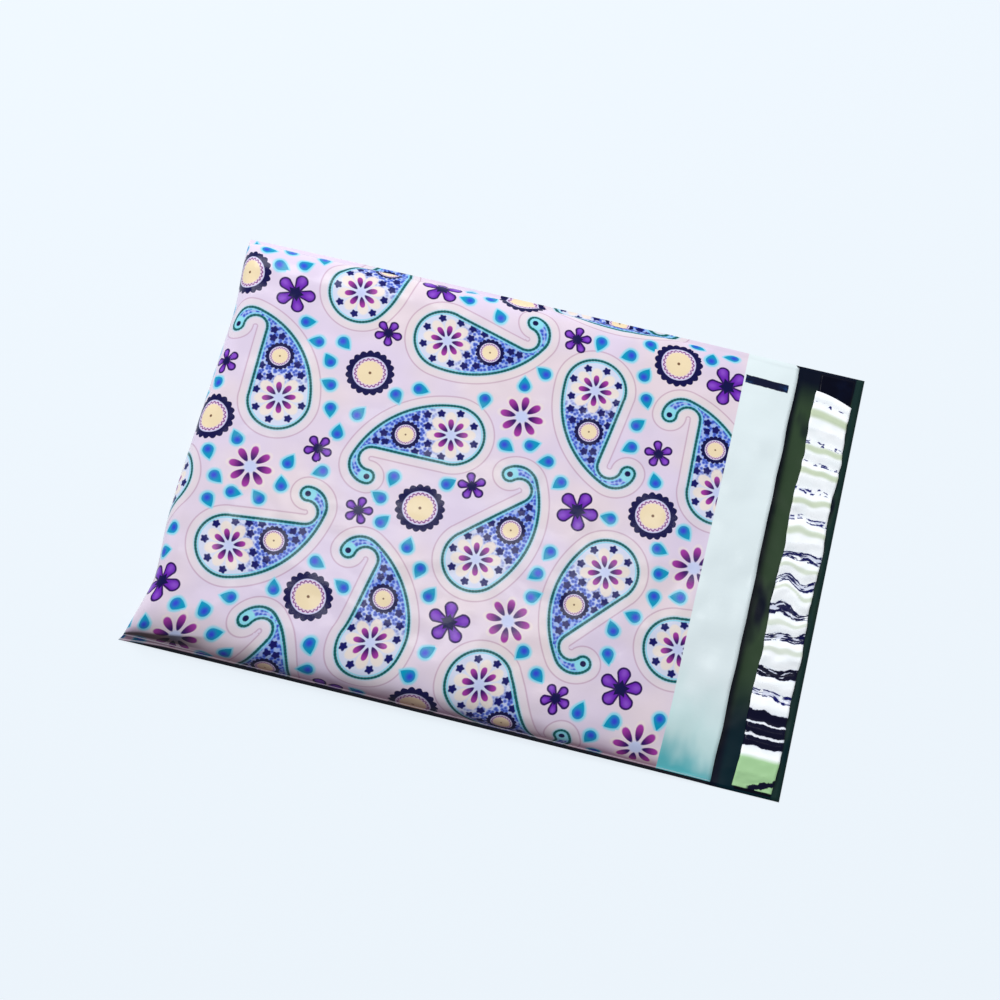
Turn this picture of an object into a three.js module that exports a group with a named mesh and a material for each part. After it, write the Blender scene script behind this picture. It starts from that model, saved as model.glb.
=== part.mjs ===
// A printed film mailing bag. It lies on its back, puffed up, with its mouth open and its flap flat.
// X runs along the bag from the folded end to the flap, Y runs across it to the far side, Z is up.
// The origin lies under the middle of the bag, on the table.
import * as THREE from "three";

// Driving dimensions, in millimetres
const bagWidth = 254;
const pouchLength = 330; // from the folded end to the lip of the front panel
const flapLength = 38; // how far the back panel runs past the lip
const filmThickness = 0.6;
const weldWidth = 3; // the flat seam along each side
const seamGap = 0.4; // what the two panels keep between them beside a seam
const puffHeight = 16; // near the folded end
const mouthHeight = 7; // at the middle of the lip
const shoulderRun = 22; // how far in from a side seam the front panel is still rounded
const foldRun = 11; // and how far in from the folded end
const crown = 0.12; // the share by which the top drops from the middle to the shoulders
const slopePower = 1.8; // the top stays high at first and drops faster towards the lip
const flattenFrom = 0.55; // the share of the pouch past which the shoulders widen into the mouth's arch
const archPower = 3;
const seamLift = 2.4; // how far the pull of the puff lifts each side seam off the table
const foldPull = 5; // how far the puff draws the folded end in
const foldPullRun = 57; // from the far corner, over which that grows
const earPull = 4; // and how much more beside the near corner, which is left as an ear
const earLength = 36; // along the folded end
const earSpread = 0.8; // how gently that pull fades, as a share of the ear's length
const whiteBand = 30; // bare film between the print and the lip
const markLength = 25; // the dark bar that a packing machine's eye reads
const markWidth = 5;
const markInset = 15.5; // from the far side of the bag
const markToLip = 4;
const glueWidth = 20;
const glueThickness = 0.2;
const glueInset = 5; // from the edge of the flap
const glueEndGap = 1.5;
const linerWidth = 21.5;
const linerThickness = 0.3;
const linerFarGap = 13; // bare glue at the far end, where the liner was cut on a slant
const linerSlant = 6;
const linerNearGap = 3;
const linerWave = 0.5; // how far its long edges wander
const linerWaveLength = 57;
const linerSlantFade = 6; // how fast the slant of its far end dies out along it
const rippleShare = 0.09; // the height of a ripple as a share of its length
const rippleHighest = 1.6;
// Where the liner touches the glue, as shares of its length from its far end
const linerContacts = [
  0, 0.03, 0.135, 0.19, 0.26, 0.335, 0.43, 0.495, 0.57, 0.63, 0.72, 0.775, 0.84, 0.875, 0.9, 1,
];

// Sizes of the print's figures
const rosetteRadius = 14.2;
const bigFlowerRadius = 12.3;
const smallFlowerRadius = 8.5;
const daisyRadius = 12.8;
const leafDaisyRadius = 9.9; // the daisy in a leaf figure's bulb
const leafRosetteRadius = 8.6; // and the rosette above it
const leafBulb = 18.5; // a leaf figure's outline is arcs of these radii that run into each other
const leafBack = 57.5;
const leafHook = 11.6;
const leafTip = 4.6;
const leafNotch = 6.6; // the hollow that the hook bends round
const dropLength = 10;
const dropClearance = 5.2;
const dropSpacing = 13;
const dropGrid = 4; // the pitch of the places tried for a drop
const dropMargin = 4; // from the edges of the print
const haloWidth = 5; // the pale band left round a leaf figure
const borderWidth = 1.5; // the dark outline of a leaf figure
const goldenAngle = 137.5;
const outlineStep = 7; // the longest side of a figure's outline

// Spacings of the points that the front panel's surface is cut from
const weldStep = 6; // along the side seams
const shoulderStep = 8; // over the rounded edges
const topStep = 20; // over the flatter top
const shoulderClear = 4.2; // a point is added only if it has this much room round it
const topClear = 7;
const lineClear = 2; // on the end of the print and the seams
const outlineClear = 1; // on the outlines of the figures
const rimClear = 1.5; // and from the panel's own rim

// The print's colours, and the film's
const colours = {
  ground: 0xe0d6e4,
  band: 0xdeedf1,
  inside: 0x0e1f2c,
  seam: 0x10121f,
  leafLine: 0x0c5c58,
  leafFill: 0xb9d8f2,
  navy: 0x080a36,
  cream: 0xf2dfbd,
  purple: 0x6a30b4,
  plum: 0x8c3a9c,
  drop: 0x1f7fc4,
};

// Where each figure lies on the flat film: millimetres along from the fold, and across from its middle
// line. A leaf figure also has its turn in degrees.
const leaves = [
  [54, 26, 15], [83, 102, 331], [137, 86, 268], [156, 30, 104], [228, 79, 185],
  [209, 146, 245], [310, 34, 15], [186, -39, 325], [259, -26, 151], [141, -100, 359],
  [205, -105, 224], [86, -155, 348], [49, -65, 290], [1, -32, 151], [306, -60, 290],
];
const rosettes = [
  [16, 100], [100, 55], [272, 107], [19, 7], [149, -17], [277, 12], [100, -82], [175, -129],
  [176, 130],
];
const bigFlowers = [
  [46, 93], [129, 120], [302, 101], [235, 4], [180, -77], [126, -137], [17, -93], [281, -89],
];
const smallFlowers = [
  [17, 42], [104, 82], [212, 106], [174, 3], [84, 3], [116, -27], [272, 49], [248, -103],
];
const daisies = [
  [191, 51], [50, -17], [212, -68], [306, -12], [39, -120], [297, -117],
];

const radians = THREE.MathUtils.degToRad;
const clamp = THREE.MathUtils.clamp;

// The length of a quarter of an ellipse
function quarterEllipse(run, rise) {
  const root = Math.sqrt((3 * run + rise) * (run + 3 * rise));
  return (Math.PI / 4) * (3 * (run + rise) - root);
}

// The film's own sizes, laid flat
const shoulderFilm = quarterEllipse(shoulderRun, puffHeight);
const foldFilm = quarterEllipse(foldRun, puffHeight);
const halfFilm = bagWidth / 2 + shoulderFilm - shoulderRun;
const filmLength = pouchLength + foldFilm - foldRun;
const printLength = filmLength - whiteBand;
const foldX = -(pouchLength + flapLength) / 2;
const lipX = foldX + pouchLength;
const edgeX = lipX + flapLength;

// How far the puff draws the folded end in, at a place across the bag
function foldEdge(y) {
  const half = bagWidth / 2;
  const far = clamp((half - y) / foldPullRun, 0, 1);
  const near = clamp((y + half) / earLength, 0, 1);
  const besideEar = Math.exp(-(((y + half - earLength) / (earSpread * earLength)) ** 2));
  return foldX + (foldPull * far * far * (3 - 2 * far) + earPull * besideEar) * Math.sqrt(near);
}

// How a panel climbs over a rounded edge: the film's length in from the edge gives the run over the
// table, and the climb from 0 to 1. An inset is the film's own thickness, for the inner face.
function overEdge(film, flat, run, length, inset) {
  if (film < flat) return [film, 0];
  if (film > flat + length) return [flat + run + film - flat - length, 1];
  const angle = ((film - flat) / length) * (Math.PI / 2);
  return [flat + run * (1 - Math.cos(angle)) + inset * Math.cos(angle), Math.sin(angle)];
}

// A point of the pouch, on one of four layers: 0 the back's outer face, 1 its inner face, 2 the front's
// inner face and 3 the front's outer face.
function onPouch(along, across, layer) {
  const inner = layer === 1 || layer === 2;
  const inset = inner ? filmThickness : 0;
  const inward = halfFilm - Math.abs(across);
  const [sideRun, sideRise] = overEdge(inward, weldWidth, shoulderRun, shoulderFilm, inset);
  const [endRun, endRise] = overEdge(along, 0, foldRun, foldFilm, inset);
  const y = Math.sign(across) * (bagWidth / 2 - sideRun);
  const fold = foldEdge(y);
  const share = endRun / pouchLength;
  const x = fold + share * (lipX - fold);
  const lifted = seamLift * (1 - sideRise) ** 2 * Math.sqrt(clamp(4 * share * (1 - share), 0, 1));
  if (layer < 2) return [x, y, lifted + layer * filmThickness];
  const beside = Math.abs(y) / (bagWidth / 2 - weldWidth - inset);
  const arch = Math.max(0, 1 - beside ** archPower);
  const nearMouth = clamp((share - flattenFrom) / (1 - flattenFrom), 0, 1) ** 2;
  const rise = (sideRise + (arch - sideRise) * nearMouth) * endRise * (1 - crown * beside ** 2);
  const low = filmThickness * 2 + seamGap;
  const high = mouthHeight + (puffHeight - mouthHeight) * (1 - share ** slopePower);
  return [x, y, lifted + low + (high - low) * rise - (layer === 2 ? filmThickness : 0)];
}

// An outline with points added so that no side is longer than a step
function stepped(outline, step) {
  return outline.flatMap((p, i) => {
    const next = outline[(i + 1) % outline.length];
    const count = Math.ceil(p.distanceTo(next) / step);
    return Array.from({ length: count }, (_, k) => p.clone().lerp(next, k / count));
  });
}

// The outline of a leaf figure: five arcs that run into each other, and a straight side. An offset moves
// the outline out.
function leafOutline(offset) {
  const backStart = -8; // degrees
  const hookStart = 65;
  const tipStart = 169;
  const tipEnd = 353;
  const polar = (r, angle) => new THREE.Vector2(r * Math.cos(radians(angle)), r * Math.sin(radians(angle)));
  const backAt = polar(leafBulb - leafBack, backStart);
  const hookAt = polar(leafBack - leafHook, hookStart).add(backAt);
  const tipAt = polar(leafHook - leafTip, tipStart).add(hookAt);
  const notchAt = polar(leafTip + leafNotch, tipEnd).add(tipAt);
  const lean = notchAt.angle() + Math.acos((leafBulb + leafNotch) / notchAt.length());
  const side = THREE.MathUtils.radToDeg(lean);
  const arcs = [
    [new THREE.Vector2(), leafBulb + offset, side, 360 + backStart, 30],
    [backAt, leafBack + offset, backStart, hookStart, 10],
    [hookAt, leafHook + offset, hookStart, tipStart, 26],
    [tipAt, leafTip + offset, tipStart, tipEnd, 45],
    [notchAt, leafNotch - offset, tipEnd - 180, side - 180, 40],
  ];
  const points = [];
  for (const [centre, radius, start, end, step] of arcs) {
    const count = Math.ceil(Math.abs(end - start) / step);
    for (let i = 0; i <= count; i++) {
      points.push(polar(radius, start + ((end - start) * i) / count).add(centre));
    }
  }
  return points;
}

// A round figure with petals: its radius swings between a share of the full one and the full one
function petalOutline(radius, petals, low, pointsEach) {
  const count = petals * pointsEach;
  return Array.from({ length: count }, (_, i) => {
    const swing = 0.5 + 0.5 * Math.cos((2 * Math.PI * i) / pointsEach);
    const r = radius * (low + (1 - low) * swing);
    const angle = (2 * Math.PI * i) / count;
    return new THREE.Vector2(r * Math.cos(angle), r * Math.sin(angle));
  });
}

function dropOutline() {
  const round = 0.37 * dropLength;
  const points = [-50, -10, 30, 150, 190, 230].map((angle) => {
    return new THREE.Vector2(round * Math.cos(radians(angle)), round * Math.sin(radians(angle)));
  });
  points.splice(3, 0, new THREE.Vector2(0, dropLength - round));
  return points;
}

function placed(outline, [along, across, turn = 0]) {
  const c = Math.cos(radians(turn));
  const s = Math.sin(radians(turn));
  return outline.map(({ x, y }) => new THREE.Vector2(along + x * c - y * s, across + x * s + y * c));
}

function isInside(point, outline) {
  let inside = false;
  outline.forEach((q, i) => {
    const p = outline.at(i - 1);
    const crosses = p.y > point.y !== q.y > point.y;
    if (crosses && point.x < ((q.x - p.x) * (point.y - p.y)) / (q.y - p.y) + p.x) inside = !inside;
  });
  return inside;
}

// The drops fill the room between the figures, row by row, each turned by the golden angle
function dropPlaces() {
  const leafShapes = leaves.map((place) => placed(stepped(leafOutline(0), outlineStep), place));
  const round = [
    ...rosettes.map((p) => [...p, rosetteRadius]),
    ...bigFlowers.map((p) => [...p, bigFlowerRadius]),
    ...smallFlowers.map((p) => [...p, smallFlowerRadius]),
    ...daisies.map((p) => [...p, daisyRadius]),
  ];
  const free = (p) => {
    const offLeaves = leafShapes.every((shape) => {
      return shape.every((q) => q.distanceTo(p) > dropClearance + haloWidth) && !isInside(p, shape);
    });
    return offLeaves && round.every(([a, b, r]) => Math.hypot(p.x - a, p.y - b) > r + dropClearance);
  };
  const places = [];
  const rowPitch = dropGrid * Math.sin(radians(60));
  const rowCount = Math.floor((2 * (halfFilm - dropMargin)) / rowPitch);
  for (let row = 0; row <= rowCount; row++) {
    const across = dropMargin - halfFilm + row * rowPitch;
    const start = dropMargin + ((row % 2) * dropGrid) / 2;
    for (let along = start; along < printLength - dropMargin; along += dropGrid) {
      const p = new THREE.Vector2(along, across);
      const apart = places.every(([a, b]) => Math.hypot(p.x - a, p.y - b) >= dropSpacing);
      if (apart && free(p)) places.push([along, across, (places.length * goldenAngle) % 360]);
    }
  }
  return places;
}

const leafDaisyAt = new THREE.Vector2(0, 1.3);
const leafRosetteAt = new THREE.Vector2(0, 27.1);
const discShare = 0.66; // a rosette's cream disc, as a share of its radius
const flowerHeartShare = 0.33;
const flowerTurn = 23; // each flower is turned this much more than the one before it

// The print as simple shapes, each with its colour, from the lowest to the topmost
function printShapes() {
  const shapes = [];
  const add = (outline, place, colour) => {
    shapes.push({ outline: placed(stepped(outline, outlineStep), place), colour });
  };
  for (const place of leaves) {
    add(leafOutline(0), place, colours.leafLine);
    add(leafOutline(-borderWidth), place, colours.leafFill);
    const [daisy, rosette] = placed([leafDaisyAt, leafRosetteAt], place);
    add(petalOutline(leafDaisyRadius, 8, 0.45, 2), [daisy.x, daisy.y, place[2]], colours.plum);
    add(petalOutline(leafRosetteRadius, 10, 1, 1), [rosette.x, rosette.y], colours.navy);
    add(petalOutline(leafRosetteRadius * discShare, 6, 1, 1), [rosette.x, rosette.y], colours.cream);
  }
  for (const place of rosettes) {
    add(petalOutline(rosetteRadius, 16, 1, 1), place, colours.navy);
    add(petalOutline(rosetteRadius * discShare, 12, 1, 1), place, colours.cream);
  }
  const flowers = [
    ...bigFlowers.map((place) => [place, bigFlowerRadius]),
    ...smallFlowers.map((place) => [place, smallFlowerRadius]),
  ];
  flowers.forEach(([place, radius], i) => {
    add(petalOutline(radius, 5, 0.6, 2), [...place, flowerTurn * i], colours.purple);
    add(petalOutline(radius * flowerHeartShare, 5, 1, 1), place, colours.navy);
  });
  for (const place of daisies) add(petalOutline(daisyRadius, 8, 0.35, 2), place, colours.plum);
  for (const place of dropPlaces()) add(dropOutline(), place, colours.drop);
  return shapes;
}

// Stations across and along the flat film, close together over the rounded edges
function stations(ranges) {
  const list = [ranges[0][0]];
  for (const [start, end, count] of ranges) {
    for (let i = 1; i <= count; i++) list.push(start + ((end - start) * i) / count);
  }
  return list;
}
const flatHalf = halfFilm - weldWidth - shoulderFilm;
const rows = stations([
  [-halfFilm, -halfFilm + weldWidth, 1],
  [-halfFilm + weldWidth, -flatHalf, 4],
  [-flatHalf, flatHalf, 5],
  [flatHalf, halfFilm - weldWidth, 4],
  [halfFilm - weldWidth, halfFilm, 1],
]);
const columns = stations([
  [0, foldFilm, 4],
  [foldFilm, printLength, 12],
  [printLength, filmLength, 2],
]);
const lastRow = rows.length - 1;
const lastColumn = columns.length - 1;

// Splits a field of points into well-shaped triangles, each point added in turn
function triangulate(points) {
  const reach = 1e5;
  const all = [...points, { x: -reach, y: -reach }, { x: reach, y: -reach }, { x: 0, y: reach }];
  const circled = (i, j, k) => {
    const [p, q, r] = [all[i], all[j], all[k]];
    const [bx, by, cx, cy] = [q.x - p.x, q.y - p.y, r.x - p.x, r.y - p.y];
    const d = 2 * (bx * cy - by * cx);
    const ux = (cy * (bx * bx + by * by) - by * (cx * cx + cy * cy)) / d;
    const uy = (bx * (cx * cx + cy * cy) - cx * (bx * bx + by * by)) / d;
    return { corners: [i, j, k], x: p.x + ux, y: p.y + uy, r2: ux * ux + uy * uy };
  };
  let triangles = [circled(points.length, points.length + 1, points.length + 2)];
  points.forEach((p, index) => {
    const rim = new Map();
    triangles = triangles.filter(({ corners, x, y, r2 }) => {
      if ((p.x - x) ** 2 + (p.y - y) ** 2 >= r2 * (1 - 1e-9)) return true;
      corners.forEach((from, side) => {
        const to = corners[(side + 1) % 3];
        if (!rim.delete(`${to},${from}`)) rim.set(`${from},${to}`, [from, to]);
      });
      return false;
    });
    for (const [from, to] of rim.values()) triangles.push(circled(from, to, index));
  });
  return triangles.map(({ corners }) => corners).filter((t) => t.every((i) => i < points.length));
}

// The dark bar beside the lip
function markOutline() {
  const far = halfFilm - markInset - (shoulderFilm - shoulderRun);
  const end = filmLength - markToLip;
  const corners = [
    [end - markLength, far - markWidth],
    [end, far - markWidth],
    [end, far],
    [end - markLength, far],
  ];
  return stepped(corners.map(([x, y]) => new THREE.Vector2(x, y)), markWidth);
}

// The points of the front panel's outer face: its rim, the print's outlines, and what the curves need
function frontPoints(shapes) {
  const points = [];
  for (const along of columns) points.push({ x: along, y: -halfFilm }, { x: along, y: halfFilm });
  for (const across of rows.slice(1, -1)) points.push({ x: 0, y: across }, { x: filmLength, y: across });
  const addInside = (x, y, clear) => {
    const fromRim = Math.min(x, filmLength - x, halfFilm - Math.abs(y));
    const apart = points.every((q) => Math.hypot(x - q.x, y - q.y) > clear);
    if (fromRim > rimClear && apart) points.push({ x, y });
  };
  for (let along = weldStep; along < filmLength; along += weldStep) {
    for (const side of [-1, 1]) addInside(along, side * (halfFilm - weldWidth), lineClear);
  }
  for (let across = 0; across < halfFilm - weldWidth; across += outlineStep) {
    for (const side of [-1, 1]) addInside(printLength, side * across, lineClear);
  }
  for (const { x, y } of markOutline()) addInside(x, y, outlineClear);
  for (const { outline } of shapes) {
    for (const { x, y } of outline) if (x < printLength - lineClear) addInside(x, y, outlineClear);
  }
  // over the rounded edges, and over the flatter top
  for (let along = 0; along < filmLength; along += shoulderStep) {
    for (const across of rows) if (Math.abs(across) >= flatHalf) addInside(along, across, shoulderClear);
  }
  for (const along of columns) {
    const [step, clear] = along < foldFilm ? [shoulderStep, shoulderClear] : [topStep, topClear];
    for (let across = 0; across < flatHalf; across += step) {
      for (const side of [-1, 1]) addInside(along, side * across, clear);
    }
  }
  return points;
}

// The triangles of the front panel's outer face, cut along the print's outlines, with their colours
function frontTriangles() {
  const shapes = printShapes();
  const mark = markOutline();
  const points = frontPoints(shapes);
  const colourAt = (p) => {
    if (p.y < weldWidth - halfFilm) return colours.seam;
    if (p.x > printLength) return isInside(p, mark) ? colours.navy : colours.band;
    return shapes.findLast(({ outline }) => isInside(p, outline))?.colour ?? colours.ground;
  };
  return triangulate(points).map((corners) => {
    const [p, q, r] = corners.map((i) => points[i]);
    const centre = { x: (p.x + q.x + r.x) / 3, y: (p.y + q.y + r.y) / 3 };
    return { points: [p, q, r].map(({ x, y }) => onPouch(x, y, 3)), colour: colourAt(centre) };
  });
}

// The bag is one film: folded at the end, welded along its sides, and left long as a flap
function filmBag() {
  const positions = [];
  const tints = [];
  const tint = new THREE.Color();
  const triangle = (a, b, c, colour) => {
    positions.push(...a, ...b, ...c);
    tint.set(colour);
    for (let i = 0; i < 3; i++) tints.push(tint.r, tint.g, tint.b);
  };
  const quad = (a, b, c, d, colour) => {
    triangle(a, b, c, colour);
    triangle(a, c, d, colour);
  };
  // a flat face with five corners, all seen from the first one
  const fan = (corners, colour) => {
    for (let k = 2; k < corners.length; k++) triangle(corners[0], corners[k - 1], corners[k], colour);
  };
  const at = (column, row, layer) => onPouch(columns[column], rows[row], layer);
  // a point of the rim, where layer 1 lies over the back's outer face, and not in from it
  const onRim = (column, row, layer) => {
    const [x, y, z] = at(column, row, 0);
    return layer === 1 ? [x, y, z + filmThickness] : at(column, row, layer);
  };
  // a point of the flap's two ends, where the rows of the pouch run straight on
  const onFlap = (row, layer, x) => {
    const [, y] = row === 0 || row === lastRow ? onRim(lastColumn, row, layer) : at(lastColumn, row, layer);
    return [x, y, layer * filmThickness];
  };
  const m = lastColumn;
  const n = lastRow;

  for (const { points, colour } of frontTriangles()) triangle(...points, colour);

  for (let i = 0; i < m; i++) {
    for (let j = 0; j < n; j++) {
      quad(at(i, j, 0), at(i, j + 1, 0), at(i + 1, j + 1, 0), at(i + 1, j, 0), colours.ground);
      if (j === 0 || j === n - 1) continue;
      quad(at(i, j, 1), at(i + 1, j, 1), at(i + 1, j + 1, 1), at(i, j + 1, 1), colours.inside);
      quad(at(i, j, 2), at(i, j + 1, 2), at(i + 1, j + 1, 2), at(i + 1, j, 2), colours.inside);
    }
    // the outer edge of each seam, in two bands so that the flap's edge meets the lower one
    for (const [low, high] of [[0, 1], [1, 3]]) {
      quad(onRim(i, 0, low), onRim(i + 1, 0, low), onRim(i + 1, 0, high), onRim(i, 0, high), colours.seam);
      quad(onRim(i + 1, n, low), onRim(i, n, low), onRim(i, n, high), onRim(i + 1, n, high), colours.ground);
    }
    // the inner side of each seam, where the two panels part
    quad(at(i, 1, 1), at(i, 1, 2), at(i + 1, 1, 2), at(i + 1, 1, 1), colours.inside);
    quad(at(i + 1, n - 1, 1), at(i + 1, n - 1, 2), at(i, n - 1, 2), at(i, n - 1, 1), colours.inside);
  }

  for (let j = 1; j < n - 1; j++) {
    // the folded end outside and inside, and the lip
    quad(at(0, j, 0), at(0, j, 3), at(0, j + 1, 3), at(0, j + 1, 0), colours.ground);
    quad(at(0, j, 1), at(0, j + 1, 1), at(0, j + 1, 2), at(0, j, 2), colours.inside);
    quad(at(m, j, 2), at(m, j + 1, 2), at(m, j + 1, 3), at(m, j, 3), colours.band);
  }
  // the two ends of the near seam, then those of the far one
  fan([at(0, 1, 0), onRim(0, 0, 0), onRim(0, 0, 1), onRim(0, 0, 3), at(0, 1, 3)], colours.seam);
  fan([onRim(m, 0, 1), at(m, 1, 1), at(m, 1, 2), at(m, 1, 3), onRim(m, 0, 3)], colours.seam);
  fan([at(0, n - 1, 0), at(0, n - 1, 3), onRim(0, n, 3), onRim(0, n, 1), onRim(0, n, 0)], colours.ground);
  fan([onRim(m, n, 1), onRim(m, n, 3), at(m, n - 1, 3), at(m, n - 1, 2), at(m, n - 1, 1)], colours.band);

  // the flap: its two faces, its edge and its sides
  for (let j = 0; j < n; j++) {
    const [p, q] = [j, j + 1];
    quad(onFlap(p, 0, edgeX), onFlap(p, 0, lipX), onFlap(q, 0, lipX), onFlap(q, 0, edgeX), colours.ground);
    quad(onFlap(p, 1, lipX), onFlap(p, 1, edgeX), onFlap(q, 1, edgeX), onFlap(q, 1, lipX), colours.inside);
    quad(onFlap(p, 0, edgeX), onFlap(q, 0, edgeX), onFlap(q, 1, edgeX), onFlap(p, 1, edgeX), colours.inside);
  }
  quad(onFlap(0, 0, lipX), onFlap(0, 0, edgeX), onFlap(0, 1, edgeX), onFlap(0, 1, lipX), colours.seam);
  quad(onFlap(n, 0, edgeX), onFlap(n, 0, lipX), onFlap(n, 1, lipX), onFlap(n, 1, edgeX), colours.inside);

  const geometry = new THREE.BufferGeometry();
  geometry.setAttribute("position", new THREE.Float32BufferAttribute(positions, 3));
  geometry.setAttribute("color", new THREE.Float32BufferAttribute(tints, 3));
  geometry.computeVertexNormals();
  const material = new THREE.MeshStandardMaterial({ vertexColors: true, roughness: 0.32, metalness: 0 });
  const mesh = new THREE.Mesh(geometry, material);
  mesh.name = "film_bag";
  return mesh;
}

function adhesiveStrip() {
  const geometry = new THREE.BoxGeometry(glueWidth, bagWidth - 2 * glueEndGap, glueThickness);
  const material = new THREE.MeshStandardMaterial({ color: 0x04061c, roughness: 0.15, metalness: 0 });
  const mesh = new THREE.Mesh(geometry, material);
  mesh.position.set(edgeX - glueInset - glueWidth / 2, 0, filmThickness + glueThickness / 2);
  mesh.name = "adhesive_strip";
  return mesh;
}

// The liner is a thin strip that touches the glue in lines and stands off it in ripples between them
function releaseLiner() {
  const far = bagWidth / 2 - linerFarGap;
  const near = -bagWidth / 2 + linerNearGap;
  const middle = edgeX - glueInset - glueWidth / 2;
  const stepsEach = 5;
  const profile = [];
  linerContacts.slice(1).forEach((end, i) => {
    const start = linerContacts[i];
    for (let k = i ? 1 : 0; k <= stepsEach; k++) {
      const share = start + ((end - start) * k) / stepsEach;
      const height = rippleShare * (end - start) * (far - near) * Math.sin((Math.PI * k) / stepsEach) ** 2;
      profile.push({ share, height: Math.min(height, rippleHighest) });
    }
  });
  const bottom = filmThickness + glueThickness;
  const grid = profile.map(({ share, height }) => {
    const y = far + share * (near - far);
    const wander = linerWave * Math.sin((2 * Math.PI * y) / linerWaveLength);
    return [-1, 1].map((side) => {
      const slanted = y - (side > 0 ? linerSlant * (1 - share) ** linerSlantFade : 0);
      return [middle + (side * linerWidth) / 2 + wander, slanted, bottom + height];
    });
  });
  const positions = [];
  const quad = (a, b, c, d) => positions.push(...a, ...b, ...c, ...a, ...c, ...d);
  const up = ([x, y, z]) => [x, y, z + linerThickness];
  for (let i = 0; i < grid.length - 1; i++) {
    const [a, b] = grid[i];
    const [d, c] = grid[i + 1];
    quad(a, b, c, d);
    quad(up(a), up(d), up(c), up(b));
    quad(a, d, up(d), up(a));
    quad(b, up(b), up(c), c);
  }
  const [a, b] = grid[0];
  const [d, c] = grid.at(-1);
  quad(a, up(a), up(b), b);
  quad(d, c, up(c), up(d));
  const geometry = new THREE.BufferGeometry();
  geometry.setAttribute("position", new THREE.Float32BufferAttribute(positions, 3));
  geometry.computeVertexNormals();
  const material = new THREE.MeshStandardMaterial({ color: 0xeef4f6, roughness: 0.2, metalness: 0 });
  const mesh = new THREE.Mesh(geometry, material);
  mesh.name = "release_liner";
  return mesh;
}

const mailer = new THREE.Group();
mailer.name = "poly_mailer";
mailer.add(filmBag(), adhesiveStrip(), releaseLiner());

export default mailer;
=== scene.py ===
import math

import bmesh
import bpy
from mathutils import Matrix, Vector, noise


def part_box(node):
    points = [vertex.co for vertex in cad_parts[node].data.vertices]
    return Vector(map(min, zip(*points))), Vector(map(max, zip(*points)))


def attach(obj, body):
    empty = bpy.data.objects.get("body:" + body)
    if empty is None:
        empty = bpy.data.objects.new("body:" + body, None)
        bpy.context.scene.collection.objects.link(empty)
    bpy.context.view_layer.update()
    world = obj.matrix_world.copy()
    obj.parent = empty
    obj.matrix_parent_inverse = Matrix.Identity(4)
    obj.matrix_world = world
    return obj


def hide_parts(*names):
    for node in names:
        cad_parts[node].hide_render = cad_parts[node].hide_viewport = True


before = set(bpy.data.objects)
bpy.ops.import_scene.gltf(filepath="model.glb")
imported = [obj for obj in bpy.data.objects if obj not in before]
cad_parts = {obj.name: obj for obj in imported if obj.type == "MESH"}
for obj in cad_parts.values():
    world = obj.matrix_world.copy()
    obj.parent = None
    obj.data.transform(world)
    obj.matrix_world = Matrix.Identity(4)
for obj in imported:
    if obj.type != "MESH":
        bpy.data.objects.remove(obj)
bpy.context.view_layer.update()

perMetre = 1000  # the sizes below are in millimetres
bagLow, bagHigh = (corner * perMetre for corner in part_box("film_bag"))
glueLow, glueHigh = (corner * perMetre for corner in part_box("adhesive_strip"))


# Shader maths: a wire is one output of a node, and an expression on wires adds the nodes it needs
class Wire:
    def __init__(self, tree, socket=None):
        self.tree = tree
        self.socket = socket

    def node(self, kind, settings=None, inputs=None, output=0):
        made = self.tree.nodes.new("ShaderNode" + kind)
        for name, value in (settings or {}).items():
            setattr(made, name, value)
        for name, value in (inputs or {}).items():
            if isinstance(value, Wire):
                self.tree.links.new(value.socket, made.inputs[name])
            else:
                made.inputs[name].default_value = value
        return Wire(self.tree, made.outputs[output])

    def other(self, output):
        return Wire(self.tree, self.socket.node.outputs[output])

    def maths(self, operation, *values):
        return self.node("Math", {"operation": operation}, dict(enumerate((self, *values))))

    def __add__(self, value):
        return self.maths("ADD", value)

    def __sub__(self, value):
        return self.maths("SUBTRACT", value)

    def __rsub__(self, value):
        return self.node("Math", {"operation": "SUBTRACT"}, {0: value, 1: self})

    def __mul__(self, value):
        return self.maths("MULTIPLY", value)

    def __truediv__(self, value):
        return self.maths("DIVIDE", value)

    def __abs__(self):
        return self.maths("ABSOLUTE")

    __radd__ = __add__
    __rmul__ = __mul__


def tint(red, green, blue):  # a screen colour as the shader wants it
    def linear(value):
        share = value / 255
        return share / 12.92 if share < 0.04045 else ((share + 0.055) / 1.055) ** 2.4

    return (linear(red), linear(green), linear(blue), 1)


def blend(mask, under, over, way="MIX"):
    return mask.node("Mix", {"data_type": "RGBA", "blend_type": way}, {0: mask, 6: under, 7: over}, 2)


def within(value, edge, blur=0.22):  # 1 where a value is under an edge, with a soft change
    span = {0: value, 1: edge + blur, 2: edge - blur}
    return value.node("MapRange", {"interpolation_type": "SMOOTHSTEP"}, span)


def between(value, start, end):  # climbs smoothly from 0 at the start to 1 at the end
    return value.node("MapRange", {"interpolation_type": "SMOOTHSTEP"}, {0: value, 1: start, 2: end})


def flatPlace(paint, layer):  # the two values that one of the piece's own maps holds
    split = paint.node("SeparateXYZ", inputs={0: paint.node("UVMap", {"uv_map": layer})})
    return split, split.other(1)


def speckle(x, y, sizeX, sizeY, detail=2.0):  # 0 to 1, in blotches of a size along and across
    place = x.node("CombineXYZ", inputs={0: x / sizeX, 1: y / sizeY, 2: 0.0})
    return x.node("TexNoise", {"noise_dimensions": "2D"}, {"Vector": place, "Scale": 1.0, "Detail": detail})


def reach(x, y):
    return (x * x + y * y).maths("SQRT")


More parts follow.
